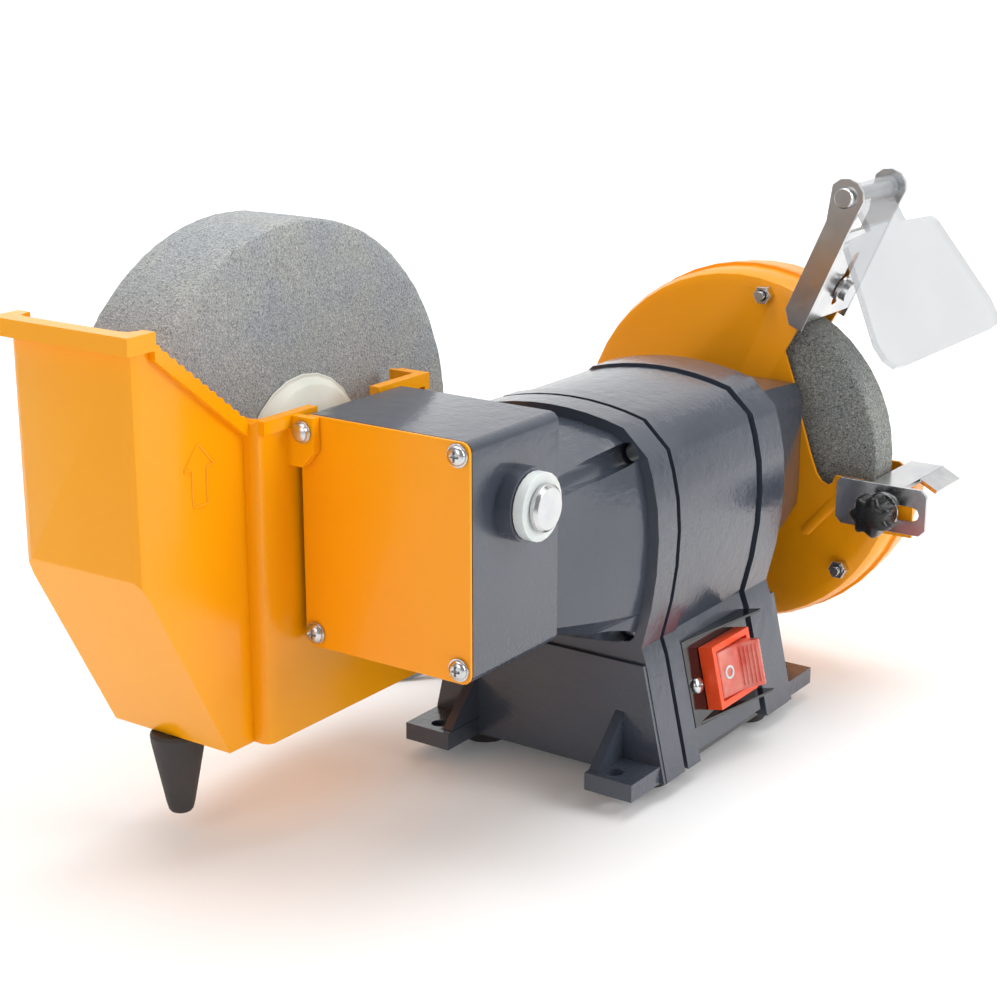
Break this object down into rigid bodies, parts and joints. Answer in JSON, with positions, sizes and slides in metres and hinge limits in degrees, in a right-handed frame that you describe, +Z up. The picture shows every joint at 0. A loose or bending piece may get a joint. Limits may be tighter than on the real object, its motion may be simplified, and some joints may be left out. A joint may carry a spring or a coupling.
{
  "type": "bench grinder",
  "caption": "Bench grinder with a fast dry stone in a guard at one end and a slow geared wet stone over a water trough at the other.",
  "frame": {"origin": "middle of the footprint box without the cord, at the level of the table", "axes": "+X along the motor shaft towards the dry stone, +Y to the back, away from the operator, +Z up"},
  "size_m": [0.4504, 0.3074, 0.2515],
  "materials": {
    "slate_paint": "slate-grey orange-peel paint on aluminium castings",
    "orange_steel": "orange powder coat on pressed steel",
    "orange_plastic": "glossy moulded plastic",
    "zinc": "bright zinc plating",
    "steel": "machined steel",
    "lamination": "stacked electrical sheet",
    "copper": "varnished copper wire",
    "bronze": "machined bronze",
    "black_steel": "glossy black paint",
    "rubber": "moulded rubber",
    "black_plastic": "moulded plastic",
    "nylon": "turned nylon",
    "cream_plastic": "moulded plastic",
    "wet_grit": "bonded abrasive grit",
    "dry_grit": "coarse bonded abrasive grit",
    "switch_red": "moulded plastic",
    "rocker_red": "translucent moulded plastic",
    "clear_plastic": "clear polycarbonate",
    "cord_grey": "PVC sheath"
  },
  "bodies": {
    "base": {"left_end_bell": "slate_paint", "right_end_bell": "slate_paint", "motor_housing": "slate_paint", "base_plate": "black_steel", "stator_core": "lamination", "stator_winding": "copper", "bearing_left": "steel", "bearing_right": "steel", "capacitor": "black_plastic", "through_bolt_1": "zinc", "through_bolt_2": "zinc", "through_bolt_3": "zinc", "through_bolt_4": "zinc", "rubber_foot_1": "rubber", "rubber_foot_2": "rubber", "rubber_foot_3": "rubber", "rubber_foot_4": "rubber", "switch_plate": "black_steel", "switch_body": "switch_red", "switch_screw": "zinc", "cord_gland": "black_plastic", "power_cord": "cord_grey", "cord_coil": "cord_grey", "power_plug": "black_plastic", "gearbox_housing": "slate_paint", "gearbox_cover": "orange_steel", "cover_screw_1": "zinc", "cover_screw_2": "zinc", "cover_screw_3": "zinc", "trough_screw": "zinc", "front_bush": "nylon", "rear_bush": "nylon", "trough": "orange_plastic", "inner_guard": "orange_steel", "outer_guard": "orange_steel", "guard_bolt_1": "zinc", "guard_nut_1": "zinc", "guard_bolt_2": "zinc", "guard_nut_2": "zinc", "guard_bolt_3": "zinc", "guard_nut_3": "zinc", "bracket_screw": "zinc"},
    "rotor_set": {"motor_shaft": "steel", "rotor": "lamination", "dry_stone": "dry_grit", "dry_flange_inner": "steel", "dry_flange_outer": "steel", "spindle_nut": "zinc"},
    "wet_set": {"output_shaft": "zinc", "worm_wheel": "bronze", "wet_stone": "wet_grit", "wet_flange": "cream_plastic", "wet_nut": "zinc"},
    "rocker": {"switch_rocker": "rocker_red"},
    "rest": {"tool_rest": "zinc"},
    "knob": {"rest_knob": "black_plastic"},
    "bracket": {"shield_bracket": "zinc", "hinge_pin": "zinc"},
    "shield": {"eye_shield": "clear_plastic"},
    "drain": {"drain_plug": "rubber"}
  },
  "joints": [
    {"name": "motor_spin", "type": "hinge", "parent": "base", "child": "rotor_set", "pos_m": [-0.14065, -0.0073, 0.113], "axis": [1, 0, 0], "continuous": true},
    {"name": "wet_spin", "type": "hinge", "parent": "base", "child": "wet_set", "pos_m": [-0.10965, -0.0073, 0.1515], "axis": [0, 1, 0], "continuous": true},
    {"name": "switch_press", "type": "hinge", "parent": "base", "child": "rocker", "pos_m": [0.03235, -0.06591, 0.0419], "axis": [0, 0.2221, 0.975], "range_deg": [0, 18]},
    {"name": "rest_slide", "type": "slide", "parent": "base", "child": "rest", "axis": [0, 1, 0], "range_m": [-0.011, 0.001]},
    {"name": "knob_turn", "type": "hinge", "parent": "base", "child": "knob", "pos_m": [0.13435, -0.0918, 0.096], "axis": [1, 0, 0], "range_deg": [0, 360]},
    {"name": "bracket_slide", "type": "slide", "parent": "base", "child": "bracket", "axis": [0, -0.4035, 0.915], "range_m": [-0.0025, 0.0065]},
    {"name": "shield_swing", "type": "hinge", "parent": "bracket", "child": "shield", "pos_m": [0.15985, -0.06435, 0.24252], "axis": [1, 0, 0], "range_deg": [-75, 15]},
    {"name": "drain_pull", "type": "slide", "parent": "base", "child": "drain", "axis": [0, 0, -1], "range_m": [0, 0.01]}
  ],
  "couplings": [
    {"joint": "wet_spin", "follows": "motor_spin", "ratio": 0.045455}
  ]
}
